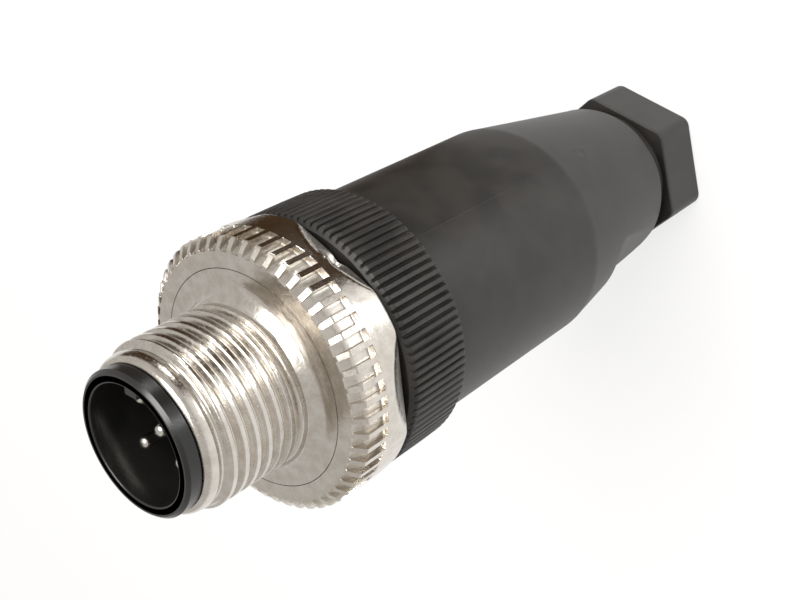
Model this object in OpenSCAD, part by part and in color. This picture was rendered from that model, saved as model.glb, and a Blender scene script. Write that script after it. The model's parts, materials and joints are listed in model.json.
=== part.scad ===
// M12 circular connector, male, five pins, for fitting to a cable in the field.
// It stands on the end face of its clamp nut, with the pins pointing up (+Z).
// The origin is the middle of that end face. The mating key looks along -45 degrees.

/* [Clamp nut] */
// Width of the clamp nut across its flats
nut_flats = 13; // [12.6:0.1:14]
// Radius that rounds the six corners of the clamp nut
nut_corner_r = 1; // [0.4:0.1:2]
// Length of the hexagon of the clamp nut
nut_h = 5.2; // [4:0.1:8]
// Bevel of the outer edge of the clamp nut
nut_bevel = 0.4; // [0.2:0.1:0.8]
// Radius of the threaded sleeve of the clamp nut
nut_thread_r = 6; // [5.4:0.05:6.1]
// Length of sleeve that shows between the hexagon and the neck
nut_gap = 1.7; // [0.6:0.1:3]
// Length of sleeve that is screwed into the neck
nut_engaged = 3.6; // [3.2:0.1:4.5]
// Radius of the cable hole through the clamp nut
cable_hole_r = 3.3; // [3.1:0.05:3.6]
// Turn of the hexagon about the axis
nut_turned = 2; // [-30:1:30]

/* [Cable clamp] */
// Length of the slotted clamping cage
cage_h = 3.2; // [2.4:0.1:4]
// Number of fingers of the clamping cage
cage_fingers = 8; // [6:1:12]
// Width of the slots between the fingers
cage_slot = 0.8; // [0.5:0.1:1.2]
// Radius of the cable hole through the seal
seal_hole_r = 3; // [2.98:0.01:3.2]
// Length of the rubber seal
seal_h = 4; // [3:0.1:6]
// Radius of the throat above the seal
throat_r = 4.2; // [3.6:0.1:4.8]
// Length of the throat above the seal
throat_h = 1; // [0.6:0.1:2]

/* [Back shell] */
// Length of the back shell
shell_len = 32.4; // [30:0.1:40]
// Length of the tapered end of the back shell
taper_len = 14.5; // [12:0.1:18]
// Radius of the back shell at its mouth
shell_r = 9.25; // [9.1:0.05:9.6]
// Draft of the straight part of the back shell, taken off its radius
shell_draft = 0.07; // [0.02:0.01:0.15]
// Radius of the neck at its end
neck_r = 7.05; // [7:0.05:7.6]
// Radius that rounds the end of the neck
neck_round = 0.6; // [0.3:0.1:0.8]
// Distance between the two spanner flats on the taper
neck_flats = 14; // [13.8:0.1:15]
// Length of the spanner flats before their rounded end
neck_flats_len = 7.5; // [5:0.1:10]
// Radius of the rounded end of the spanner flats
neck_flats_r = 1.9; // [1:0.1:3]
// Radius of the wiring room inside the back shell
room_r = 7.2; // [7.1:0.05:7.4]
// Length of the thread at the mouth of the back shell
shell_thread_h = 6; // [5.6:0.1:8]
// Turn of the spanner flats about the axis
shell_turned = 15; // [-90:1:90]

/* [Grip ring] */
// Distance of the grip ring's teeth inside the band of the coupling ring
grip_inset = 0.15; // [0.05:0.05:0.3]
// Length of the grip ring
grip_len = 5.75; // [4.5:0.05:8]
// Number of teeth on the grip ring
grip_teeth = 102; // [60:2:110]
// Depth of the grooves between the teeth
tooth_depth = 0.36; // [0.2:0.02:0.5]
// Bevel of the front ends of the teeth
tooth_bevel = 0.45; // [0.3:0.05:0.8]
// Wall of the back shell round the screwed skirt of the grip ring
mouth_wall = 1.85; // [1.5:0.05:1.95]
// Length of the screwed skirt
skirt_len = 5.4; // [5:0.1:5.8]
// Thickness of the two sealing rings
o_ring_d = 1; // [0.8:0.05:1.1]

/* [Coupling ring] */
// Radius of the M12 thread over its crests
thread_r = 6; // [5.9:0.05:6.1]
// Radius of the band of the flange
flange_r = 10.15; // [9.9:0.05:10.4]
// Length of the flange
flange_len = 4.8; // [4.4:0.1:6]
// Bevel of the front edge of the flange, across the radius
flange_bevel = 0.75; // [0.5:0.05:1]
// Length of the coupling ring
ring_len = 13.65; // [13:0.05:16]
// Length of the smooth land at the front of the thread
land_len = 0.7; // [0.6:0.05:1.5]
// Width of the groove between the land and the thread
groove_len = 0.5; // [0.3:0.05:0.8]
// Number of finger notches in each of the two rows
notch_count = 16; // [8:2:20]
// Distance from one finger notch to the next, about the axis
notch_step = 7.5; // [6.5:0.1:9]
// Depth of the finger notches in the middle of a row
notch_depth = 0.45; // [0.3:0.05:0.55]
// Radius of the round bottom of the finger notches
notch_r = 0.6; // [0.45:0.01:0.62]
// Turn of the rows of finger notches about the axis
notches_turned = -91.4; // [-180:0.1:180]
// Length of flange behind the finger notches
notch_back = 2.2; // [2:0.1:2.8]
// Distance between opposite spanner faces at the back of the ring
ring_flats = 18.8; // [18.4:0.1:19.4]
// Lean of the spanner faces towards the axis
ring_flats_lean = 25; // [15:0.5:35]
// Turn of the spanner faces about the axis
ring_turned = -7; // [-30:0.5:30]

/* [Contact insert] */
// Radius of the inside of the cup
cup_r = 4.3; // [4.2:0.01:4.4]
// Thickness of the wall of the cup
cup_wall = 0.5; // [0.45:0.01:0.58]
// Depth of the cup
cup_depth = 8.2; // [7.5:0.1:9.5]
// Length of the lip in front of the coupling ring
lip_len = 1.07; // [0.8:0.01:1.6]
// Height of the lip above the wall of the cup
lip_rise = 0.34; // [0.18:0.02:0.36]
// Height of the mating key above the inside wall
key_rise = 0.8; // [0.5:0.05:0.9]
// Width of the mating key
key_width = 1.1; // [0.8:0.05:1.2]
// Distance of the mating key behind the rim of the cup
key_back = 0.3; // [0.2:0.1:1.5]
// Radius of the collar of the insert
collar_r = 7.2; // [7:0.05:7.6]
// Radius of the stem of the insert inside the grip ring
stem_r = 6.4; // [6:0.05:6.5]

/* [Contacts] */
// Radius of the contact pins
pin_r = 0.5; // [0.4:0.01:0.52]
// Radius of the shank of the pins, which is moulded into the insert
shank_r = 0.68; // [0.66:0.01:0.69]
// Radius of the circle of the four outer pins
pin_circle_r = 2.5; // [2.4:0.05:2.6]
// Distance of the tips of the pins behind the rim of the cup
pin_back = 1.9; // [1.5:0.1:4]
// Radius of the wire clamps
clamp_r = 1.5; // [1.45:0.01:1.6]
// Radius of the circle of the four outer wire clamps
clamp_circle_r = 3.3; // [3.3:0.05:3.6]
// Length of the wire clamps
clamp_len = 5.4; // [5:0.1:6]
// Distance of the outer wire clamps below the grip ring
clamp_drop = 3.6; // [3.4:0.1:4]
// Distance that the middle wire clamp stands behind the others
clamp_step = 3.2; // [3:0.1:4]
// Radius of the wire holes in the wire clamps
wire_hole_r = 0.8; // [0.6:0.05:0.85]
// Length of the pins' tails inside the wire clamps
pin_tail = 1.3; // [1:0.1:1.6]
// Radius of the pins' tails inside the wire clamps
tail_r = 0.45; // [0.35:0.01:0.48]
// Radius of the terminal screws
screw_r = 0.85; // [0.7:0.05:0.9]

/* [Fits] */
// Gap round pieces that turn or slide in each other
running_gap = 0.08; // [0.04:0.01:0.1]
// Gap round pieces that are pushed together for good
seat_gap = 0.02; // [0.01:0.01:0.04]
// Gap that shows between the back shell and the grip ring
joint_gap = 0.2; // [0.1:0.05:0.3]
// Gap that shows between the grip ring and the coupling ring
ring_gap = 0.45; // [0.2:0.05:0.5]

/* [Hidden] */
$fn = 96;
cut = 0.01;    // how far a cutting shape reaches past the face it cuts
reach = 3 * flange_r;    // longer than any piece is wide
// heights above the end face of the clamp nut
neck_end = nut_h + nut_gap;
nut_top = neck_end + nut_engaged;
cage_bottom = nut_top + running_gap;
cage_top = cage_bottom + cage_h;
seal_bottom = cage_top + running_gap;
seat_top = seal_bottom + seal_h + seat_gap;
room_bottom = seat_top + throat_h;
taper_top = neck_end + taper_len;
shell_top = neck_end + shell_len;
grip_bottom = shell_top + joint_gap;
grip_top = grip_bottom + grip_len;
ring_bottom = grip_top + ring_gap;
flange_top = ring_bottom + flange_len;
ring_top = ring_bottom + ring_len;
lip_bottom = ring_top + running_gap;
cup_top = lip_bottom + lip_len;
cup_floor = cup_top - cup_depth;
pin_tip = cup_top - pin_back;
skirt_bottom = grip_bottom - skirt_len;
o_ring_seat = shell_top - o_ring_d - seat_gap;
// radii
grip_r = flange_r - grip_inset;
skirt_r = shell_r - mouth_wall;
neck_bore_r = nut_thread_r + running_gap;
mouth_r = skirt_r + running_gap;
o_ring_in = skirt_r + seat_gap;
o_ring_seat_r = o_ring_in + o_ring_d + seat_gap;
cup_out_r = cup_r + cup_wall;
lip_r = cup_out_r + lip_rise;
lip_round = 0.22;
cup_edge = 0.06;
ring_bore_r = cup_out_r + running_gap;
collar_room_r = collar_r + 0.3;
collar_top = flange_top - 1.3;
thread_top = ring_top - land_len - groove_len;
fillet_r = 1.2;
flange_edge_r = flange_r - flange_bevel;
thread_root_r = thread_r - 0.55;
notch_fade = 3.2;    // number of notches over which a row gets its full depth
grip_bore_r = stem_r + seat_gap;
// the block that holds the wire clamps
block_r = stem_r - 0.3;
clamp_top = grip_bottom - clamp_drop;
block_bottom = clamp_top - clamp_len;
boss_r = clamp_r + 0.7;
outer_screw_h = clamp_top - clamp_len / 2;
middle_screw_h = outer_screw_h - clamp_step - 0.6;
wire_stop = pin_tail + 0.4;
stem_groove_h = grip_top - 2;

// ---- shared shapes ----

// points of an arc, from one angle to another
function arc(centre, r, from, to, steps) =
    [for (i = [0:steps]) let (a = from + (to - from) * i / steps) centre + r * [cos(a), sin(a)]];

// a polygon with equal sides and rounded corners; one corner looks along +X
function rounded_polygon(sides, apothem, corner_r, steps) = [
    for (i = [0:sides - 1])
        let (turn = 360 / sides, at = i * turn, far = (apothem - corner_r) / cos(turn / 2))
            each arc(far * [cos(at), sin(at)], corner_r, at - turn / 2, at + turn / 2, steps)
];

// a tube between two heights
module tube(outer, inner, bottom, top) {
    rotate_extrude() translate([inner, bottom]) square([outer - inner, top - bottom]);
}

// a round bar between two heights
module bar(r, bottom, top) {
    translate([0, 0, bottom]) cylinder(r = r, h = top - bottom);
}

// a sealing ring of round section that fits between two radii
module o_ring(inner, height) {
    rotate_extrude() translate([inner + o_ring_d / 2, height]) circle(d = o_ring_d, $fn = 32);
}

// ---- the cable end ----

module clamp_nut() {
    color("#1c1b1b") difference() {
        union() {
            intersection() {
                rotate([0, 0, nut_turned + 30])
                    linear_extrude(nut_h)
                        polygon(rounded_polygon(6, nut_flats / 2, nut_corner_r, 5));
                nut_bevel_limit();
            }
            bar(nut_thread_r, nut_h - cut, nut_top);
        }
        bar(cable_hole_r, -cut, nut_top + cut);
        // countersink that leads the cable in
        translate([0, 0, -cut]) cylinder(r1 = cable_hole_r + 0.6, r2 = cable_hole_r, h = 0.6);
    }
}

// the turned outline that bevels the corners of the hexagon
module nut_bevel_limit() {
    corner = (nut_flats / 2 - nut_corner_r) / cos(30) + nut_corner_r;
    rotate_extrude() polygon([
        [0, 0], [corner - nut_bevel, 0], [corner, nut_bevel],
        [corner, nut_h - nut_bevel / 2], [corner - nut_bevel / 2, nut_h], [0, nut_h]
    ]);
}

module clamp_cage() {
    outer = neck_bore_r - running_gap;
    foot = cage_h / 4;
    color("#d8d4c8") difference() {
        rotate_extrude() polygon([
            [cable_hole_r, cage_bottom], [outer, cage_bottom],
            [outer, cage_bottom + foot * 2.6], [outer - 0.9, cage_top],
            [cable_hole_r, cage_top]
        ]);
        for (i = [0:cage_fingers - 1]) rotate([0, 0, i * 360 / cage_fingers])
            translate([cable_hole_r / 2, -cage_slot / 2, cage_bottom + foot])
                cube([outer, cage_slot, cage_h]);
    }
}

module gland_seal() {
    color("#2f2e2d") tube(neck_bore_r - seat_gap, seal_hole_r, seal_bottom, seal_bottom + seal_h);
}

module back_shell() {
    taper_r = shell_r - shell_draft;
    color("#201e1e") difference() {
        rotate_extrude() polygon(concat(
            [[neck_bore_r, neck_end], [neck_r - neck_round, neck_end]],
            arc([neck_r - neck_round, neck_end + neck_round], neck_round, -80, 0, 5),
            [
                [taper_r, taper_top], [shell_r, shell_top], [o_ring_seat_r, shell_top],
                [o_ring_seat_r, o_ring_seat], [mouth_r, o_ring_seat],
                [mouth_r, o_ring_seat - shell_thread_h],
                [room_r, o_ring_seat - shell_thread_h - (mouth_r - room_r)],
                [room_r, room_bottom + (room_r - throat_r)], [throat_r, room_bottom],
                [throat_r, seat_top], [neck_bore_r, seat_top]
            ]
        ));
        // two spanner flats, each with a rounded front end
        for (side = [0, 180]) rotate([0, 0, shell_turned + side])
            translate([neck_flats / 2, 0, 0]) rotate([90, 0, 0])
                translate([0, 0, -reach / 2]) linear_extrude(reach) polygon(concat(
                    [[0, 0], [reach, 0], [reach, neck_end + neck_flats_len + neck_flats_r]],
                    arc([neck_flats_r, neck_end + neck_flats_len], neck_flats_r, 90, 180, 8)
                ));
    }
}

module housing_o_ring() {
    color("#26231f") o_ring(o_ring_in, shell_top - o_ring_d / 2);
}

// ---- the grip ring, with its knurl ----

// outline of the knurl: each tooth has a flat crest and sloping sides
function knurl(teeth, crest_r, depth) = [
    for (i = [0:teeth - 1]) let (pitch = 360 / teeth, at = i * pitch) each [
        (crest_r - depth) * [cos(at), sin(at)],
        (crest_r - depth) * [cos(at + 0.24 * pitch), sin(at + 0.24 * pitch)],
        crest_r * [cos(at + 0.42 * pitch), sin(at + 0.42 * pitch)],
        crest_r * [cos(at + 0.82 * pitch), sin(at + 0.82 * pitch)]
    ]
];

module grip_ring() {
    color("#242222") difference() {
        union() {
            intersection() {
                translate([0, 0, grip_bottom])
                    linear_extrude(grip_len) polygon(knurl(grip_teeth, grip_r, tooth_depth));
                rotate_extrude() polygon([
                    [0, grip_bottom], [grip_r + cut, grip_bottom],
                    [grip_r + cut, grip_top - tooth_bevel], [grip_r - tooth_bevel, grip_top],
                    [0, grip_top]
                ]);
            }
            bar(skirt_r, skirt_bottom, grip_bottom + cut);
        }
        bar(grip_bore_r, skirt_bottom - cut, grip_top + cut);
    }
}

// ---- the coupling ring ----

module coupling_ring() {
    fillet_at = thread_root_r + 0.3 + fillet_r;
    color("#c9c4bc") difference() {
        rotate_extrude() polygon(concat(
            [
                [ring_bore_r, ring_top], [ring_bore_r, collar_top + 0.3],
                [collar_room_r, collar_top + 0.3], [collar_room_r, ring_bottom],
                [flange_r - 0.1, ring_bottom], [flange_r, ring_bottom + 0.1],
                [flange_r, flange_top - 0.6], [flange_edge_r, flange_top],
                [fillet_at + 0.2, flange_top]
            ],
            arc([fillet_at, flange_top + fillet_r], fillet_r, 270, 185, 6),
            [
                [thread_r, flange_top + fillet_r + 0.1],
                [thread_r, thread_top], [thread_root_r, thread_top],
                [thread_root_r, thread_top + groove_len], [thread_r - 0.3, thread_top + groove_len],
                [thread_r - 0.5, ring_top - 0.25], [thread_r - 0.8, ring_top]
            ]
        ));
        finger_notches();
        spanner_faces();
    }
}

// two rows of finger notches on opposite sides; each row fades out towards the casting's parting
// plane, because both halves of the mould have to draw off
module finger_notches() {
    for (side = [0, 180]) for (i = [0.5:notch_count / 2]) for (way = [-1, 1])
        rotate([0, 0, notches_turned + side + way * i * notch_step])
            finger_notch(notch_depth * min(1, (notch_count / 2 - i) / notch_fade));
}

// a groove with a round bottom, open at the front of the flange and closed at the back
module finger_notch(depth) {
    middle = flange_r - depth + notch_r;
    translate([0, 0, ring_bottom + notch_back]) linear_extrude(flange_len) polygon(concat(
        arc([middle, 0], notch_r, 90, 270, 8),
        [[middle + notch_r, -notch_r], [middle + notch_r, notch_r]]
    ));
}

// six faces for a spanner, which lean in towards the back of the ring
module spanner_faces() {
    for (i = [0:5]) rotate([0, 0, ring_turned + i * 60])
        translate([ring_flats / 2, 0, ring_bottom]) rotate([0, ring_flats_lean, 0])
            translate([0, -reach / 2, -reach / 2]) cube([reach, reach, reach]);
}

// ---- the contact insert ----

module contact_carrier() {
    collar_bottom = grip_top + seat_gap;
    color("#171717") difference() {
        union() {
            rotate_extrude() polygon([
                [0, block_bottom], [block_r, block_bottom], [block_r, clamp_top + 1],
                [stem_r, clamp_top + 1.3], [stem_r, stem_groove_h - o_ring_d / 2 - seat_gap],
                [stem_r - o_ring_d, stem_groove_h - o_ring_d / 2 - seat_gap],
                [stem_r - o_ring_d, stem_groove_h + o_ring_d / 2 + seat_gap],
                [stem_r, stem_groove_h + o_ring_d / 2 + seat_gap],
                [stem_r, collar_bottom], [collar_r, collar_bottom], [collar_r, collar_top],
                [cup_out_r, collar_top], [cup_out_r, lip_bottom - 0.02], [lip_r, lip_bottom],
                [lip_r, cup_top - lip_round], [lip_r - lip_round, cup_top],
                [cup_r + cup_edge, cup_top], [cup_r, cup_top - cup_edge],
                [cup_r, cup_floor], [0, cup_floor]
            ]);
            bar(boss_r, block_bottom - clamp_step, block_bottom + cut);
            mating_key();
        }
        for (i = [1:5]) {
            pin_hole(i);
            clamp_pocket(i);
            screw_hole(i);
        }
    }
}

// the key between the first and the fourth pin, from the cup's floor to near its rim
module mating_key() {
    rotate([0, 0, -45]) intersection() {
        translate([cup_r - key_rise, -key_width / 2, cup_floor - cut])
            cube([key_rise + cup_wall / 2, key_width, cup_top - key_back - cup_floor]);
        tube(cup_r + cup_wall / 2, 1, cup_floor - 1, cup_top);
    }
}

// places of pin, clamp and screw number i; the fifth stands in the middle
function pin_at(i) = i == 5 ? [0, 0, 0] : pin_circle_r * [cos(90 * i - 90), sin(90 * i - 90), 0];
function clamp_at(i) = i == 5 ? [0, 0, 0] : clamp_circle_r * [cos(90 * i - 90), sin(90 * i - 90), 0];
function clamp_low(i) = i == 5 ? block_bottom - clamp_step : block_bottom;
function clamp_high(i) = i == 5 ? clamp_top - clamp_step : clamp_top;
function screw_turn(i) = i == 5 ? 45 : 90 * i - 90;
function screw_h(i) = i == 5 ? middle_screw_h : outer_screw_h;
function screw_out(i) = i == 5 ? boss_r - 0.15 : block_r - 0.2;
function clamp_axis(i) = i == 5 ? 0 : clamp_circle_r;
function screw_in(i) = clamp_axis(i) + wire_hole_r;

module pin_hole(i) {
    translate(pin_at(i)) bar(shank_r + seat_gap, clamp_high(i) - cut, cup_floor + cut);
}

module clamp_pocket(i) {
    translate(clamp_at(i)) bar(clamp_r + seat_gap, clamp_low(i) - cut, clamp_high(i) + seat_gap);
}

module screw_hole(i) {
    rotate([0, 0, screw_turn(i)]) translate([clamp_axis(i), 0, screw_h(i)]) rotate([0, 90, 0])
        cylinder(r = screw_r + seat_gap, h = reach / 4);
}

module carrier_o_ring() {
    color("#2a2723") rotate_extrude() translate([stem_r - o_ring_d / 2, stem_groove_h])
        circle(d = o_ring_d - 2 * seat_gap, $fn = 32);
}

// ---- the contacts ----

// a turned pin with a thicker shank and a domed tip; its tail ends inside the wire clamp
module contact_pin(i) {
    tail = clamp_high(i) - pin_tail;
    color("#cfcac0") translate(pin_at(i)) rotate_extrude() polygon(concat(
        [
            [0, tail], [tail_r, tail], [tail_r, clamp_high(i) + seat_gap],
            [shank_r, clamp_high(i) + seat_gap], [shank_r, cup_floor], [pin_r, cup_floor]
        ],
        arc([pin_r - 0.4, pin_tip - 0.4], 0.4, 0, 75, 5),
        [[0, pin_tip]]
    ));
}

// a round brass wire clamp with a wire hole, a seat for the pin's tail and a screw hole
module terminal_clamp(i) {
    color("#c8a95a") difference() {
        translate(clamp_at(i)) bar(clamp_r, clamp_low(i), clamp_high(i));
        translate(pin_at(i))
            bar(tail_r + seat_gap, clamp_high(i) - pin_tail - seat_gap, clamp_high(i) + 1);
        translate(clamp_at(i)) bar(wire_hole_r, clamp_low(i) - 1, clamp_high(i) - wire_stop);
        screw_hole(i);
    }
}

// five slotted grub screws
module terminal_screws() {
    color("#b8b4aa") for (i = [1:5])
        rotate([0, 0, screw_turn(i)]) translate([0, 0, screw_h(i)]) difference() {
            rotate([0, 90, 0]) translate([0, 0, screw_in(i)])
                cylinder(r = screw_r, h = screw_out(i) - screw_in(i));
            translate([screw_out(i) - 0.35, -reach / 2, -0.12]) cube([1, reach, 0.24]);
        }
}

clamp_nut();
clamp_cage();
gland_seal();
back_shell();
housing_o_ring();
grip_ring();
carrier_o_ring();
contact_carrier();
coupling_ring();
contact_pin(1);  // contact_pin_1
contact_pin(2);  // contact_pin_2
contact_pin(3);  // contact_pin_3
contact_pin(4);  // contact_pin_4
contact_pin(5);  // contact_pin_5
terminal_clamp(1);  // terminal_clamp_1
terminal_clamp(2);  // terminal_clamp_2
terminal_clamp(3);  // terminal_clamp_3
terminal_clamp(4);  // terminal_clamp_4
terminal_clamp(5);  // terminal_clamp_5
terminal_screws();
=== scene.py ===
# %% [markdown]
# # An M12 connector in Blender
#
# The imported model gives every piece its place. It is loaded first and never moved.
# After that the pieces that the eye rests on get finer meshes, and every piece gets a
# finish made of shader nodes. All sizes are in metres, so a helper turns millimetres
# into metres wherever a maker would think in millimetres.

import json
import math

import bmesh
import bpy
import numpy as np
from mathutils import Matrix, Vector

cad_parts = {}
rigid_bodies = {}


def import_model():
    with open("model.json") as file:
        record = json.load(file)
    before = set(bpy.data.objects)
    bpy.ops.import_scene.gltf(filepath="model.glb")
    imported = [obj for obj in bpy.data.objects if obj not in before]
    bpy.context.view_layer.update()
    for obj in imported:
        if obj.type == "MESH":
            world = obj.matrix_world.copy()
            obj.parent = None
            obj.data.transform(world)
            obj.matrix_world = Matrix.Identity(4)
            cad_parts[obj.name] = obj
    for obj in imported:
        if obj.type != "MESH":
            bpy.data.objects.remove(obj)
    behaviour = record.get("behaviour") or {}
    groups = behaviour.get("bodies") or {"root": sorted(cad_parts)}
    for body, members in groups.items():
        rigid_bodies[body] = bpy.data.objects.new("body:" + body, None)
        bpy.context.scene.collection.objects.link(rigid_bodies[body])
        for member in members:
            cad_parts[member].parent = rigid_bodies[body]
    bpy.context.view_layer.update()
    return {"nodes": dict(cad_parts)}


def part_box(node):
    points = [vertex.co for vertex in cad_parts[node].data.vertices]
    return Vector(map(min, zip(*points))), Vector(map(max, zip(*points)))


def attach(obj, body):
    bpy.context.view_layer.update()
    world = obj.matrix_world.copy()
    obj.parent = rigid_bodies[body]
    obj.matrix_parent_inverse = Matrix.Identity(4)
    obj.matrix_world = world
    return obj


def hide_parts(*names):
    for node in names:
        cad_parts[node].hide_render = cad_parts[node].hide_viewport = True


for spare in list(bpy.data.objects):
    bpy.data.objects.remove(spare)       # Blender starts with a cube, a lamp and a camera
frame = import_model()

MM = 0.001

# %% [markdown]
# ## Heights along the connector
#
# The connector is a stack of turned pieces, so most places are heights above the end
# face of the clamp nut. They are read from the boxes of the solids. Nothing is typed
# twice, and the fine meshes follow the solids if a length changes.

# %% Read the heights and the radii
def span(node):
    """Lowest and highest point of a solid, in mm."""
    low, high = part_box(node)
    return low.z / MM, high.z / MM


def reach(node):
    """Largest distance of a solid from the axis, along X or Y, in mm."""
    low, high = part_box(node)
    return max(high.x, high.y, -low.x, -low.y) / MM


nut_low, nut_high = span("clamp_nut")
shell_low, shell_high = span("back_shell")
grip_low, grip_high = span("grip_ring")
ring_low, ring_high = span("coupling_ring")
cup_low, cup_high = span("contact_carrier")
pin_high = span("contact_pin_1")[1]
flange_r = reach("coupling_ring")
flange_top = ring_low + 4.8
print("coupling ring from", round(ring_low, 2), "to", round(ring_high, 2), "mm, radius", round(flange_r, 2))
print("back shell from", round(shell_low, 2), "to", round(shell_high, 2), "mm")

# %% [markdown]
# ## A lathe for meshes
#
# Nearly every piece here was turned or moulded round one axis. A lathe is the natural
# tool: a profile of radius and height goes round the axis in many columns. Screw
# modifiers can do that, but a notch or a thread has to push single points in or out.
# So the lathe is written as one array of points, and each piece may bend that array
# with a function of its own before the faces are made.

# %% The lathe
def dense(profile, step):
    """Adds points to a profile so that none is further than step from the next, in mm."""
    out = [profile[0]]
    for (r0, h0), (r1, h1) in zip(profile, profile[1:]):
        parts = max(1, math.ceil(math.hypot(r1 - r0, h1 - h0) / step))
        out += [(r0 + (r1 - r0) * k / parts, h0 + (h1 - h0) * k / parts) for k in range(1, parts + 1)]
    return out


def arc(r, h, radius, start, end, steps=6):
    """Points of an arc in the plane of radius and height, angles in degrees."""
    turns = [math.radians(start + (end - start) * k / steps) for k in range(steps + 1)]
    return [(r + radius * math.cos(t), h + radius * math.sin(t)) for t in turns]


def lathe(name, profile, columns, shape=None, closed=True, crease=32):
    """A mesh object from a profile in mm. columns is a count or an array of angles in degrees.
    shape(r, h, angle) may return a new r and h for arrays of points."""
    angles = np.arange(columns) * 360 / columns if isinstance(columns, int) else np.asarray(columns, float)
    r, h = (np.array(v)[:, None] * np.ones(len(angles)) for v in zip(*profile))
    a = np.ones(len(profile))[:, None] * angles
    if shape:
        r, h = shape(r, h, a)
    t = np.radians(a)
    points = np.stack([r * np.cos(t), r * np.sin(t), h], -1).reshape(-1, 3) * MM
    rows, cols = r.shape
    i = np.arange(rows if closed else rows - 1)[:, None]
    j = np.arange(cols)[None, :]
    nxt_i, nxt_j = (i + 1) % rows, (j + 1) % cols
    quads = np.stack([i * cols + j, i * cols + nxt_j, nxt_i * cols + nxt_j, nxt_i * cols + j], -1)
    mesh = bpy.data.meshes.new(name)
    mesh.from_pydata(points, [], quads.reshape(-1, 4))
    obj = bpy.data.objects.new(name, mesh)
    bpy.context.scene.collection.objects.link(obj)
    finish_mesh(obj, crease)
    return obj


def finish_mesh(obj, crease):
    """Merges points that meet, turns the faces outward and keeps edges sharper than crease sharp."""
    work = bmesh.new()
    work.from_mesh(obj.data)
    bmesh.ops.remove_doubles(work, verts=work.verts, dist=0.0004 * MM)
    bmesh.ops.recalc_face_normals(work, faces=work.faces)
    for face in work.faces:
        face.smooth = True
    for edge in work.edges:
        edge.smooth = len(edge.link_faces) == 2 and edge.calc_face_angle(0) < math.radians(crease)
    work.to_mesh(obj.data)
    work.free()
    print(obj.name, "has", len(obj.data.polygons), "faces")


def step_up(x, low, high):
    """0 below low, 1 above high, and smooth between them."""
    t = np.clip((x - low) / (high - low), 0, 1)
    return t * t * (3 - 2 * t)


def turn_from(angle, middle):
    """Signed difference of two angles in degrees, from -180 to 180."""
    return (angle - middle + 180) % 360 - 180

# %% [markdown]
# ## The coupling ring's flange
#
# The ring is a zinc casting with a nickel finish. Its flange starts round, with a
# bevelled front edge and a row of finger notches, and turns into a hexagon at the back,
# because there the six spanner faces lean inward. Cutting all that with booleans would
# leave knife edges. A casting has none, so the lathe's points are pulled in by soft
# functions instead, and every edge keeps a small radius.

# %% The flange
HEX_TURN = -7.0          # the middle of one spanner face, degrees
NOTCHES = 54
PITCH = 360 / NOTCHES
NOTCH_HALF = 2.2         # half the width of a notch, degrees
floor_r = flange_r - 0.46


def soft_min(a, b, k):
    """The smaller of two arrays, blended over a width k."""
    t = np.clip(0.5 + 0.5 * (b - a) / k, 0, 1)
    return b * (1 - t) + a * t - k * t * (1 - t)


def spanner_faces(r, h, angle):
    off = np.radians(turn_from(angle * 6, HEX_TURN * 6) / 6)
    face = 9.4 + (h - ring_low) * math.tan(math.radians(25))
    return soft_min(r, face / np.cos(off), 0.12)


def finger_notches(r, h, angle):
    off = np.abs(turn_from(angle * NOTCHES, HEX_TURN * NOTCHES) / NOTCHES)
    floor = floor_r - np.maximum(0, h - ring_low - 3.75) * 0.42 + (h - ring_low - 2.2) * -0.03
    across = step_up(off, NOTCH_HALF - 0.16, NOTCH_HALF + 0.12)
    along = 1 - step_up(h, ring_low + 2.08, ring_low + 2.42)
    wall = np.maximum(across, along)
    cut = np.minimum(r, floor + wall * 1.2)
    return np.where(h > ring_low + 1.9, soft_min(r, cut + 0.02, 0.04), r)


def gate_hollow(r, h, angle):
    """The place where the casting was broken from its runner: a rough hollow in one spanner face."""
    near = np.exp(-((turn_from(angle, -69.5) / 4.2) ** 2 + ((h - ring_low - 0.55) / 0.62) ** 2) ** 1.5)
    rough = 0.06 * np.sin(angle * 3.1 + h * 9) * np.cos(h * 17 - angle * 1.3)
    rim = 0.16 * np.exp(-((turn_from(angle, -68.6) / 2.4) ** 2 + ((h - ring_low - 1.36) / 0.16) ** 2))
    return r - near * (0.5 + rough) + rim


def flange_shape(r, h, angle):
    outside = r > 8.9
    shaped = finger_notches(gate_hollow(spanner_faces(r, h, angle), h, angle), h, angle)
    return np.where(outside, shaped, r), h


in_notch = np.array([-3.333, -2.8, -2.34, -2.2, -2.06, -1.85, -0.95, 0, 0.95, 1.85, 2.06, 2.2, 2.34, 2.8])
flange_columns = (HEX_TURN + np.arange(NOTCHES)[:, None] * PITCH + in_notch).ravel()
outer = (
    [(8.0, flange_top), (9.0, flange_top), (9.3, flange_top)]
    + [(9.36, flange_top - 0.005), (9.42, flange_top - 0.03)]
    + dense([(9.46, flange_top - 0.06), (10.08, flange_top - 0.55)], 0.09)
    + [(10.13, flange_top - 0.61), (flange_r, flange_top - 0.7)]
    + dense([(flange_r, flange_top - 0.8), (flange_r, ring_low + 2.5)], 0.3)
    + dense([(flange_r, ring_low + 2.42), (flange_r, ring_low + 2.06)], 0.05)
    + dense([(flange_r, ring_low + 1.95), (flange_r, ring_low + 0.1)], 0.11)
    + [(flange_r - 0.03, ring_low + 0.04), (flange_r - 0.12, ring_low)]
)
inner = [(8.6, ring_low), (7.6, ring_low), (7.5, ring_low + 0.1), (7.5, ring_low + 3.8), (7.4, ring_low + 3.8)]
flange = lathe("coupling_ring_flange", outer + inner, flange_columns, flange_shape, closed=False, crease=40)

# %% [markdown]
# ## The M12 thread
#
# The thread is right-handed with one millimetre between its turns. A point's depth in
# the groove depends on how far it lies from the groove's middle, and that middle climbs
# one pitch for each turn. In front of the first turn there is a wide run-out groove and
# a smooth land, and behind the last turn the root sweeps into the flange in a fillet.

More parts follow.
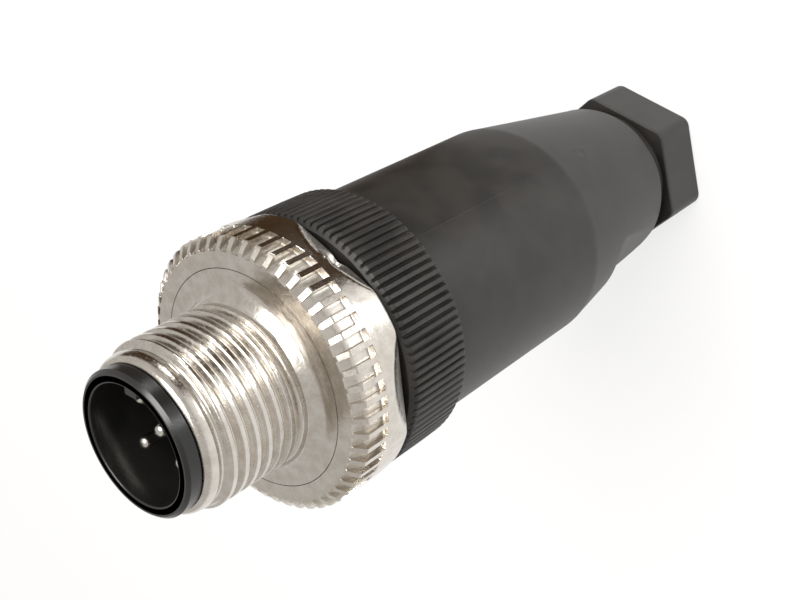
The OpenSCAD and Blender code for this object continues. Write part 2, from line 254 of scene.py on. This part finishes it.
# %% The thread
THREAD_R = 6.0
GROOVE_AT = 57.05        # height of one groove's middle at -99 degrees
land_low, land_high = ring_high - 1.0, ring_high - 0.12


def thread_shape(r, h, angle):
    middle = GROOVE_AT + (angle + 99) / 360
    off = np.abs((h - middle + 0.5) % 1.0 - 0.5)
    groove = 1 - step_up(off, 0.05, 0.34)
    runs = step_up(h, flange_top + 0.35, flange_top + 1.0) * (1 - step_up(h, ring_high - 1.75, ring_high - 1.45))
    on_thread = (r > 5.3) & (h > flange_top + 0.2) & (h < ring_high - 1.3)
    return np.where(on_thread, r - runs * 0.42 * groove, r), h


thread_profile = (
    [(7.4, ring_low + 3.8), (4.88, ring_low + 3.8), (4.88, ring_high - 0.05), (4.93, ring_high)]
    + [(5.18, ring_high), (5.3, ring_high - 0.03), (5.42, ring_high - 0.12), (5.5, ring_high - 0.24)]
    + [(5.56, ring_high - 0.4), (5.6, ring_high - 0.6), (5.63, ring_high - 0.85)]
    + [(5.61, ring_high - 0.95), (5.52, ring_high - 1.02), (5.46, ring_high - 1.1), (5.45, ring_high - 1.3)]
    + [(5.47, ring_high - 1.42), (5.6, ring_high - 1.5), (5.86, ring_high - 1.58), (5.97, ring_high - 1.64)]
    + dense([(THREAD_R, ring_high - 1.72), (THREAD_R, flange_top + 1.45)], 0.045)
    + dense([(THREAD_R - 0.01, flange_top + 1.4), (THREAD_R - 0.02, flange_top + 1.15)], 0.05)
    + [(r, h) for r, h in arc(7.15, flange_top + 1.15, 1.17, 184, 266, 12)]
    + [(7.35, flange_top), (8.05, flange_top)]
)
thread = lathe("coupling_ring_thread", thread_profile, 360, thread_shape, closed=False, crease=50)
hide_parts("coupling_ring")
for piece in (flange, thread):
    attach(piece, "coupling_body")

# %% [markdown]
# ## The grip ring
#
# Fingers turn the black ring, so it carries a fine knurl. Each tooth is a low rounded
# rib with a bevelled front end. Eight columns for each tooth are enough: two for the
# groove, three for each side and the crest between them.

# %% The grip ring
TEETH = 102
grip_r = reach("grip_ring")


def knurl(r, h, angle):
    off = np.abs(turn_from(angle * TEETH, 0) / TEETH) / (180 / TEETH)
    depth = 0.33 * (1 - step_up(off, 0.16, 0.5))
    root = grip_r - depth
    return np.where(r > grip_r - 0.5, np.minimum(r, root), r), h


tooth = np.array([0, 0.12, 0.2, 0.3, 0.42, 0.58, 0.7, 0.8, 0.88])
grip_columns = (np.arange(TEETH)[:, None] + tooth).ravel() * 360 / TEETH
grip_outline = (
    [(6.42, grip_high), (9.35, grip_high), (9.55, grip_high - 0.02)]
    + dense([(9.58, grip_high - 0.05), (grip_r - 0.03, grip_high - 0.42)], 0.07)
    + [(grip_r, grip_high - 0.5), (grip_r, grip_high - 1.2), (grip_r, grip_low + 7.5)]
    + [(grip_r - 0.03, grip_low + 5.65), (grip_r - 0.1, grip_low + 5.48), (grip_r - 0.22, grip_low + 5.42)]
    + [(9.3, grip_low + 5.4), (7.4, grip_low + 5.4), (7.4, grip_low + 0.3), (7.1, grip_low), (6.42, grip_low)]
)
grip = lathe("grip_ring_knurl", grip_outline, grip_columns, knurl, crease=38)
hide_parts("grip_ring")
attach(grip, "insert_body")

# %% [markdown]
# ## The back shell
#
# The shell is a moulded tube that narrows to a neck, with a spanner flat on each side
# of the neck. Its marks of moulding are what makes it look real: a faint parting line
# along the barrel and the round scar of the injection gate on the taper.

# %% The back shell
NECK_FLAT_TURN = 15.0
GATE_ANGLE, GATE_H = -76.3, 17.2
taper_top = shell_low + 14.5
neck_r, barrel_r, mouth_r = 7.05, 9.18, 9.25


def shell_shape(r, h, angle):
    outside = r > 6.35
    off = np.radians(turn_from(angle * 2, NECK_FLAT_TURN * 2) / 2)
    rise = np.clip(h - shell_low - 7.5, 0, 1.899)
    flat = 7.0 + 1.9 - np.sqrt(1.9 ** 2 - rise ** 2) + np.where(h > shell_low + 9.4, (h - shell_low - 9.4) * 9, 0)
    cut = soft_min(r, flat / np.cos(off), 0.1)
    across = np.radians(turn_from(angle, GATE_ANGLE)) * 8.6
    gap = np.hypot(across, h - GATE_H)
    scar = 0.035 * np.exp(-(((gap - 0.55) / 0.13) ** 2)) - 0.03 * (1 - step_up(gap, 0.3, 0.55))
    line = 0.012 * np.exp(-((across / 0.06) ** 2)) * step_up(h, 23.5, 25) * (1 - step_up(h, 38, 39))
    return np.where(outside & (h < shell_high - 0.3), cut + scar + line, r), h


near_gate = GATE_ANGLE + np.array([-7, -6, -5.2, -4.5, -3.9, -3.3, -2.8, -2.3, -1.8, -1.4, -1.0, -0.7, -0.4, -0.2])
near_gate = np.concatenate([near_gate, [GATE_ANGLE], 2 * GATE_ANGLE - near_gate[::-1]])
rest = np.linspace(GATE_ANGLE + 8.4, GATE_ANGLE + 360 - 8.4, 220)
shell_columns = np.concatenate([near_gate, rest])
shell_outline = (
    [(6.08, shell_low + 0.12), (6.16, shell_low + 0.02), (6.3, shell_low)]
    + arc(neck_r - 0.62, shell_low + 0.62, 0.62, -84, -4, 7)
    + dense([(neck_r + 0.02, shell_low + 0.8), (barrel_r - 0.09, taper_top - 0.5)], 0.42)
    + [(barrel_r - 0.03, taper_top - 0.18), (barrel_r, taper_top + 0.12)]
    + dense([(barrel_r + 0.003, taper_top + 0.5), (mouth_r, shell_high - 0.3)], 0.6)
    + [(mouth_r, shell_high - 0.12), (mouth_r - 0.04, shell_high - 0.03), (mouth_r - 0.12, shell_high)]
    + [(8.44, shell_high), (8.44, shell_high - 1.02), (7.48, shell_high - 1.02), (7.48, shell_high - 7)]
    + [(7.2, shell_high - 7.3), (7.2, shell_low + 15.3), (4.2, shell_low + 12.0), (4.2, shell_low + 10.98)]
    + [(6.08, shell_low + 10.98)]
)
shell = lathe("back_shell_body", shell_outline, shell_columns, shell_shape, crease=34)
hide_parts("back_shell")
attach(shell, "shell_body")

# %% [markdown]
# ## The clamp nut
#
# A moulded hexagon with generous corners. The radius at each angle is that of a
# rounded hexagon, worked out from its flats and its corner radius, so the corners stay
# true arcs. The edges at both ends are rolled in over a few rows.

# %% The clamp nut
NUT_TURN = 32.0
nut_flat, nut_corner = 6.5, 1.0
hex_top = nut_low + 5.2


def hexagon(angle, apothem, corner):
    """Radius of a rounded hexagon with one corner at NUT_TURN."""
    off = np.abs(np.radians(turn_from(angle * 6, NUT_TURN * 6) / 6))
    far = (apothem - corner) / math.cos(math.pi / 6)
    round_part = far * np.cos(off) + np.sqrt(np.maximum(corner ** 2 - (far * np.sin(off)) ** 2, 0))
    flat_part = apothem / np.cos(math.pi / 6 - off)
    edge = math.atan2(corner * 0.5, far + corner * math.cos(math.pi / 6))
    return np.where(off < edge, round_part, flat_part)


def nut_shape(r, h, angle):
    on_hex = (r > 6.4) & (h < hex_top + 0.01)
    ends = np.maximum(0, 0.3 - (h - nut_low)) + np.maximum(0, 0.22 - (hex_top - h))
    inset = 0.3 - np.sqrt(np.maximum(0.09 - ends ** 2, 0))
    return np.where(on_hex, hexagon(angle, nut_flat, nut_corner) - inset, r), h


corner_steps = np.concatenate([np.linspace(-30, -5.2, 12), np.linspace(-4.6, 4.6, 12), np.linspace(5.2, 27.6, 11)])
nut_columns = (NUT_TURN + np.arange(6)[:, None] * 60 + corner_steps).ravel()
nut_rows = [0.0, 0.02, 0.06, 0.12, 0.19, 0.26, 0.32, 0.6, 2.5, 4.6, 4.98, 5.03, 5.08, 5.13, 5.17, 5.2]
nut_outline = (
    [(3.9, nut_low)] + [(6.5, nut_low + h) for h in nut_rows]
    + [(6.02, hex_top), (6.0, hex_top + 0.03), (6.0, nut_high - 0.2), (5.85, nut_high)]
    + [(3.3, nut_high), (3.3, nut_low + 0.6)]
)
nut = lathe("clamp_nut_body", nut_outline, nut_columns, nut_shape, crease=40)
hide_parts("clamp_nut")
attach(nut, "nut_body")

# %% [markdown]
# ## The cup and the pins
#
# The contact insert is one black moulding. Its rim shows in front of the metal, and the
# mating key stands on the inside wall. The inside wall and the key come from the same
# lathe: in the key's narrow sector the wall's points move inward. The pins get new
# domed tips, because a tip a millimetre wide lives on its small highlight.

# %% The insert
KEY_ANGLE = -45.0
cup_r, cup_out, lip_r = 4.25, 4.8, 5.02
cup_floor = cup_high - 8.5
lip_low = cup_high - 1.07
key_half = math.degrees(0.55 / 3.7)


def key_shape(r, h, angle):
    off = np.abs(turn_from(angle, KEY_ANGLE))
    inside = (r < cup_r + 0.2) & (r > 3.9) & (h > cup_floor + 0.001)
    tall = 1 - step_up(h, cup_high - 0.78, cup_high - 0.58)
    wide = 1 - step_up(off, key_half - 0.5, key_half + 0.6)
    return np.where(inside, r - 0.8 * tall * wide, r), h


key_columns = KEY_ANGLE + np.array([-9.6, -9.1, -8.8, -8.5, -8.2, -7.9, -4, 0, 4, 7.9, 8.2, 8.5, 8.8, 9.1, 9.6])
insert_columns = np.concatenate([key_columns, np.linspace(KEY_ANGLE + 12, KEY_ANGLE + 348, 150)])
insert_outline = (
    [(0.0, cup_floor), (3.95, cup_floor), (cup_r, cup_floor + 0.0015)]
    + [(cup_r, h) for h in (cup_floor + 0.3, cup_high - 3, cup_high - 1, cup_high - 0.78, cup_high - 0.73)]
    + [(cup_r, h) for h in (cup_high - 0.68, cup_high - 0.63, cup_high - 0.58, cup_high - 0.2)]
    + arc(cup_r + 0.12, cup_high - 0.12, 0.12, 180, 90, 5)
    + arc(lip_r - 0.24, cup_high - 0.24, 0.24, 90, 0, 6)
    + [(lip_r, lip_low + 0.1), (lip_r - 0.03, lip_low + 0.03), (lip_r - 0.1, lip_low)]
    + [(cup_out, lip_low), (cup_out, flange_top - 1.3), (7.2, flange_top - 1.3), (7.2, grip_high + 0.02)]
    + [(6.4, grip_high + 0.02), (6.4, 43.9), (5.5, 43.9), (5.5, 42.7), (6.4, 42.7), (6.4, 37.3)]
    + [(6.1, 36.9), (6.1, 34.6)]
)
insert = lathe("contact_insert_front", insert_outline, insert_columns, key_shape, closed=False, crease=36)
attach(insert, "insert_body")

def ball_tip(name, source):
    """A contact pin with a finely turned, domed tip in place of the plain solid."""
    low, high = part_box(source)
    centre = (low + high) / 2 / MM
    top, foot, half = high.z / MM, low.z / MM, 0.5
    outline = (
        [(0.0, foot), (0.45, foot), (0.45, foot + 1.3), (0.6, foot + 1.3), (0.6, cup_floor), (half, cup_floor)]
        + [(half, top - 0.5)] + arc(0.12, top - 0.4, half - 0.12, 5, 84, 9) + [(0.0, top)]
    )
    pin = lathe(name, outline, 40, closed=False, crease=45)
    pin.data.transform(Matrix.Translation((centre.x * MM, centre.y * MM, 0)))
    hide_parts(source)
    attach(pin, "insert_body")
    return pin


pins = [ball_tip(f"contact_pin_{i}_turned", f"contact_pin_{i}") for i in range(1, 6)]

# %% [markdown]
# ## Writing shaders as plain sums
#
# A finish is a small calculation: noise, plus a mask, times a colour. Dozens of Math
# nodes wired by hand are hard to read, so one class wraps a socket and lets Python's own
# signs add the nodes. Every other node comes from the same method: its type, its
# settings, and the values or wires of its inputs.

# %% The shader helper
class Wire:
    """A socket in a node tree. Arithmetic on Wires adds Math nodes."""

    def __init__(self, tree, socket=None):
        self.tree = tree
        self.socket = socket

    def node(self, kind, settings=(), inputs=(), out=0):
        node = self.tree.nodes.new("ShaderNode" + kind)
        for key, value in dict(settings).items():
            if key == "stops":
                for index, (at, color) in enumerate(value):
                    stop = node.color_ramp.elements[index] if index < 2 else node.color_ramp.elements.new(at)
                    stop.position = at
                    stop.color = (*color, 1)
            else:
                setattr(node, key, value)
        for key, value in dict(inputs).items():
            if isinstance(value, Wire):
                self.tree.links.new(value.socket, node.inputs[key])
            else:
                node.inputs[key].default_value = value
        return Wire(self.tree, node.outputs[out])

    def math(self, operation, a, b=0.0):
        return self.node("Math", {"operation": operation}, {0: a, 1: b})

    def __add__(self, other):
        return self.math("ADD", self, other)

    def __sub__(self, other):
        return self.math("SUBTRACT", self, other)

    def __rsub__(self, other):
        return self.math("SUBTRACT", other, self)

    def __mul__(self, other):
        return self.math("MULTIPLY", self, other)

    def __truediv__(self, other):
        return self.math("DIVIDE", self, other)

    __radd__ = __add__
    __rmul__ = __mul__

    def away(self, other):
        """Distance from a value."""
        return self.math("ABSOLUTE", self - other)

    def rise(self, low, high):
        """0 below low, 1 above high, smooth between."""
        scale = {"Value": self, "From Min": low, "From Max": high}
        return self.node("MapRange", {"interpolation_type": "SMOOTHSTEP"}, scale)

    def tint(self, low, high):
        """low where this value is 0 and high where it is 1, as colours."""
        sides = [side if isinstance(side, Wire) else (*side, 1) for side in (low, high)]
        mix = {"data_type": "RGBA"}
        return self.node("Mix", mix, {"Factor": self, 6: sides[0], 7: sides[1]}, out=2)


class Finish(Wire):
    """A material under construction, with the fields that every finish here needs."""

    def __init__(self, name):
        self.material = bpy.data.materials.new(name)
        self.material.use_nodes = True
        self.material.node_tree.nodes.clear()
        super().__init__(self.material.node_tree)
        spot = self.node("TexCoord", out="Object")
        self.spot = self.node("VectorMath", {"operation": "SCALE"}, {0: spot, "Scale": 1 / MM})
        self.x, self.y, self.h = (self.node("SeparateXYZ", (), {0: self.spot}, out=k) for k in range(3))
        self.radius = self.math("SQRT", self.x * self.x + self.y * self.y)
        self.angle = self.math("ARCTAN2", self.y, self.x) * math.degrees(1)

    def noise(self, scale, detail=2.0, rough=0.5, stretch=None):
        """Noise with about scale lumps to the millimetre."""
        place = self.spot
        if stretch:
            place = self.node("VectorMath", {"operation": "MULTIPLY"}, {0: place, 1: stretch})
        return self.node("TexNoise", (), {"Vector": place, "Scale": scale, "Detail": detail, "Roughness": rough})

    def bump(self, height, depth, under=None):
        """A Normal from a height in mm, where depth is a further factor."""
        values = {"Height": height, "Strength": 1.0, "Distance": depth * MM}
        if under:
            values["Normal"] = under
        return self.node("Bump", (), values)

    def close(self, **values):
        """The surface itself: a Principled shader with the given sockets."""
        names = {key.replace("_", " "): value for key, value in values.items()}
        shader = self.node("BsdfPrincipled", (), names)
        self.node_out(shader)
        print("finish", self.material.name, "has", len(self.tree.nodes), "nodes")
        return self.material

    def node_out(self, shader):
        end = self.tree.nodes.new("ShaderNodeOutputMaterial")
        self.tree.links.new(shader.socket, end.inputs["Surface"])

# %% [markdown]
# ## Nickel on a casting
#
# The ring's metal is smooth but not turned: the casting leaves soft waves and fine pits
# under the plating, so its reflections wobble and sparkle. The waves and pits are two
# noises in one bump. Roughness is low on the crests and higher in the notches and on the
# bevel, where no tool or finger polishes.

# %% The plated casting
def plated_casting():
    f = Finish("nickel_plated_zinc")
    pits = f.noise(9.0, 3.0, 0.6)
    waves = f.noise(1.3, 2.0, 0.5)
    grain = f.noise(26.0, 2.0, 0.6)
    bevel = f.h.rise(flange_top - 0.75, flange_top - 0.6) * (1 - f.h.rise(flange_top - 0.06, flange_top - 0.02))
    hollow = 1 - f.radius.rise(floor_r + 0.02, floor_r + 0.25)
    in_flange = (1 - f.h.rise(flange_top - 0.9, flange_top - 0.7)) * f.radius.rise(8.9, 9.0)
    coarse = f.math("MAXIMUM", bevel * 0.8, hollow * in_flange)
    fine_pit = pits.rise(0.62, 0.8)
    on_face = f.h.rise(flange_top - 0.02, flange_top - 0.005) * f.radius.rise(6.5, 7.4)
    thread_part = f.h.rise(flange_top + 0.3, flange_top + 0.8)
    scratch = (1 - (f.x * 0.42 + f.y * 0.91 + 8.0).away(0.0).rise(0.02, 0.07)) * on_face
    height = waves * 0.5 + pits * 0.16 + grain * (0.03 + 0.07 * coarse) - fine_pit * 0.12 - scratch * 0.1
    color = (waves * 0.6 + pits * 0.4).rise(0.3, 0.7).tint((0.60, 0.55, 0.49), (0.72, 0.69, 0.64))
    color = (fine_pit * 0.6).tint(color, (0.30, 0.24, 0.18))
    rough = 0.17 + 0.10 * pits.rise(0.4, 0.75) + 0.16 * coarse - 0.05 * on_face + 0.02 * thread_part
    return f.close(Base_Color=color, Metallic=1.0, Roughness=rough, Normal=f.bump(height, 0.045))


nickel = plated_casting()

# %% [markdown]
# ## Moulded plastics
#
# Two black plastics meet here. The grip ring and the shell are filled nylon: satin, with
# the fine grain of a spark-eroded mould. The contact insert is smoother and glossier.
# One function makes them all. A value for grain size and one for gloss tell them apart.

# %% The plastics
def moulded(name, dark, light, gloss, grain_size, grain_depth, scuffs=0.0):
    f = Finish(name)
    grain = f.noise(grain_size, 3.0, 0.65)
    cloud = f.noise(0.35, 2.0, 0.5)
    speck = f.noise(5.5, 1.0, 0.5).rise(0.72, 0.78)
    color = (cloud.rise(0.35, 0.65) * 0.7 + grain * 0.3).tint(dark, light)
    color = (speck * scuffs).tint(color, [min(1.0, c * 2.6) for c in light])
    rough = gloss + 0.12 * grain + 0.06 * cloud
    normal = f.bump(grain + 0.4 * f.noise(grain_size * 0.3), grain_depth)
    return f.close(Base_Color=color, Roughness=rough, Normal=normal, **{"Specular_IOR_Level": 0.5})


shell_black = moulded("shell_nylon", (0.012, 0.011, 0.010), (0.024, 0.021, 0.018), 0.36, 16.0, 0.010, 0.35)
grip_black = moulded("grip_nylon", (0.011, 0.010, 0.009), (0.026, 0.023, 0.020), 0.38, 14.0, 0.012, 0.5)
insert_black = moulded("insert_gloss", (0.009, 0.009, 0.009), (0.016, 0.015, 0.014), 0.16, 12.0, 0.004)
cage_grey = moulded("cage_natural", (0.42, 0.41, 0.38), (0.52, 0.51, 0.47), 0.42, 12.0, 0.010)
seal_rubber = moulded("seal_rubber", (0.014, 0.014, 0.014), (0.030, 0.029, 0.028), 0.58, 20.0, 0.012)

# %% [markdown]
# ## Small turned metal
#
# Pins, clamps and screws are cut on a lathe, so their grooves run round them and their
# highlights are streaked along the axis. Noise that is stretched flat along the height
# gives those grooves. Only colour and depth differ between plating, brass and steel.

# %% The turned metals
def turned(name, low, high, gloss, depth):
    f = Finish(name)
    rings = f.noise(7.0, 2.0, 0.6, stretch=(0.3, 0.3, 5.0))
    stain = f.noise(1.6, 2.0, 0.5)
    color = stain.rise(0.3, 0.7).tint(low, high)
    rough = gloss + 0.12 * rings + 0.05 * stain
    return f.close(Base_Color=color, Metallic=1.0, Roughness=rough, Normal=f.bump(rings, depth))


pin_plating = turned("pin_tin", (0.62, 0.60, 0.55), (0.78, 0.76, 0.70), 0.12, 0.006)
clamp_brass = turned("clamp_brass", (0.62, 0.45, 0.20), (0.76, 0.58, 0.30), 0.20, 0.008)
screw_steel = turned("screw_zinc", (0.50, 0.50, 0.49), (0.64, 0.64, 0.62), 0.24, 0.008)

# %% [markdown]
# ## Dressing the pieces
#
# The hidden pieces keep their solids, because nobody looks inside. They still get true
# finishes for the day when someone takes the model apart. A solid is dressed by putting
# the material into its own slots, so its mesh is never touched.

# %% Put the finishes on
def dress(obj, material):
    obj.data.materials.clear()
    obj.data.materials.append(material)


for piece in (flange, thread):
    dress(piece, nickel)
dress(grip, grip_black)
dress(shell, shell_black)
dress(nut, shell_black)
dress(insert, insert_black)
for pin in pins:
    dress(pin, pin_plating)
solids = {"contact_carrier": insert_black, "clamp_cage": cage_grey, "gland_seal": seal_rubber}
solids |= {"housing_o_ring": seal_rubber, "carrier_o_ring": seal_rubber, "terminal_screws": screw_steel}
solids |= {f"terminal_clamp_{i}": clamp_brass for i in range(1, 6)}
for node, material in solids.items():
    dress(frame["nodes"][node], material)
print(len(solids), "solids dressed")

# %% [markdown]
# ## Floor, light and reflections
#
# A pale floor and a pale room light everything evenly. Polished metal, though, shows
# what stands round it, and in an all-white room it would look like paper. A
# photographer puts dark cards beside shiny metal, and so does this scene. The card is
# seen by reflections alone and throws no shadow; the two low lamps are only hidden from the camera.

# %% The floor and the room
def flat_piece(name, corners):
    mesh = bpy.data.meshes.new(name)
    mesh.from_pydata([Vector(c) * MM for c in corners], [], [range(len(corners))])
    obj = bpy.data.objects.new(name, mesh)
    bpy.context.scene.collection.objects.link(obj)
    return obj


def seen_directly(wire):
    """1 for rays from the camera and for mirrored or refracted ones."""
    path = {name: wire.node("LightPath", out=f"Is {name} Ray") for name in ("Camera", "Glossy", "Transmission")}
    most = wire.math("MAXIMUM", path["Camera"], path["Glossy"])
    return wire.math("MAXIMUM", most, path["Transmission"])


wide = 3000
floor = flat_piece("floor", [(-wide, -wide, 0), (wide, -wide, 0), (wide, wide, 0), (-wide, wide, 0)])
f = Finish("pale_paper")
shade = f.node("BsdfDiffuse", (), {"Color": (0.86, 0.855, 0.85, 1)})
white = f.node("Emission", (), {"Color": (1, 1, 1, 1), "Strength": 1.0})
f.node_out(f.node("MixShader", (), {0: seen_directly(f) * 0.75, 1: shade, 2: white}))
dress(floor, f.material)

world = bpy.data.worlds.new("pale_room")
bpy.context.scene.world = world
world.use_nodes = True
world.node_tree.nodes["Background"].inputs["Color"].default_value = (0.80, 0.775, 0.75, 1)
world.node_tree.nodes["Background"].inputs["Strength"].default_value = 0.75

# %% Cards and lamps
def only_mirrored(obj):
    obj.visible_camera = False
    obj.visible_diffuse = False
    obj.visible_shadow = False
    obj.visible_transmission = False


def card(name, corners, color):
    obj = flat_piece(name, corners)
    c = Finish(name)
    c.node_out(c.node("Emission", (), {"Color": (*color, 1), "Strength": 1.0}))
    dress(obj, c.material)
    only_mirrored(obj)
    return obj


def on_floor(turn, far, up=0.6):
    t = math.radians(turn)
    return (far * math.cos(t), far * math.sin(t), up)


dark_side = [on_floor(t, 26) for t in range(40, -75, -5)] + [on_floor(t, 900) for t in range(-70, 45, 5)]
card("dark_card", dark_side, (0.060, 0.034, 0.016))


def lamp(name, at, aim, size, power, color=(1, 1, 1), shape=None):
    light = bpy.data.lights.new(name, "AREA")
    light.shape = "RECTANGLE"
    light.size, light.size_y = (s * MM for s in size)
    light.energy = power
    light.color = color
    obj = bpy.data.objects.new(name, light)
    bpy.context.scene.collection.objects.link(obj)
    obj.location = Vector(at) * MM
    obj.rotation_euler = (Vector(aim) - Vector(at)).to_track_quat("-Z", "Y").to_euler()
    obj.visible_camera = False
    return obj


middle = (0, 0, 50)
lamp("window", (-7, -70, 3), middle, (14, 30), 0.012)
lamp("low_lamp", (112, -76, 6), middle, (30, 22), 0.05)
lamp("ceiling", (120, -160, 420), middle, (260, 260), 2.2, (1.0, 0.98, 0.95))

# %% [markdown]
# ## The camera
#
# The camera looks down on the mating end from in front and a little to one side, and is
# rolled so that the connector lies across the frame. Its place and its three axes are
# given as plain numbers, because a camera's roll is hard to state any other way.

# %% The camera
camera_at = (-4.8506, -67.3531, 96.3502)
camera_turn = (-28.9326, 40.2116, -134.5701)
camera_data = bpy.data.cameras.new("camera")
camera_data.lens = 54.96
camera_data.sensor_width = 36.0
camera_data.clip_start = 0.001
camera = bpy.data.objects.new("camera", camera_data)
bpy.context.scene.collection.objects.link(camera)
camera.location = Vector(camera_at) * MM
camera.rotation_euler = [math.radians(a) for a in camera_turn]
bpy.context.scene.camera = camera
bpy.context.scene.view_settings.view_transform = "Standard"
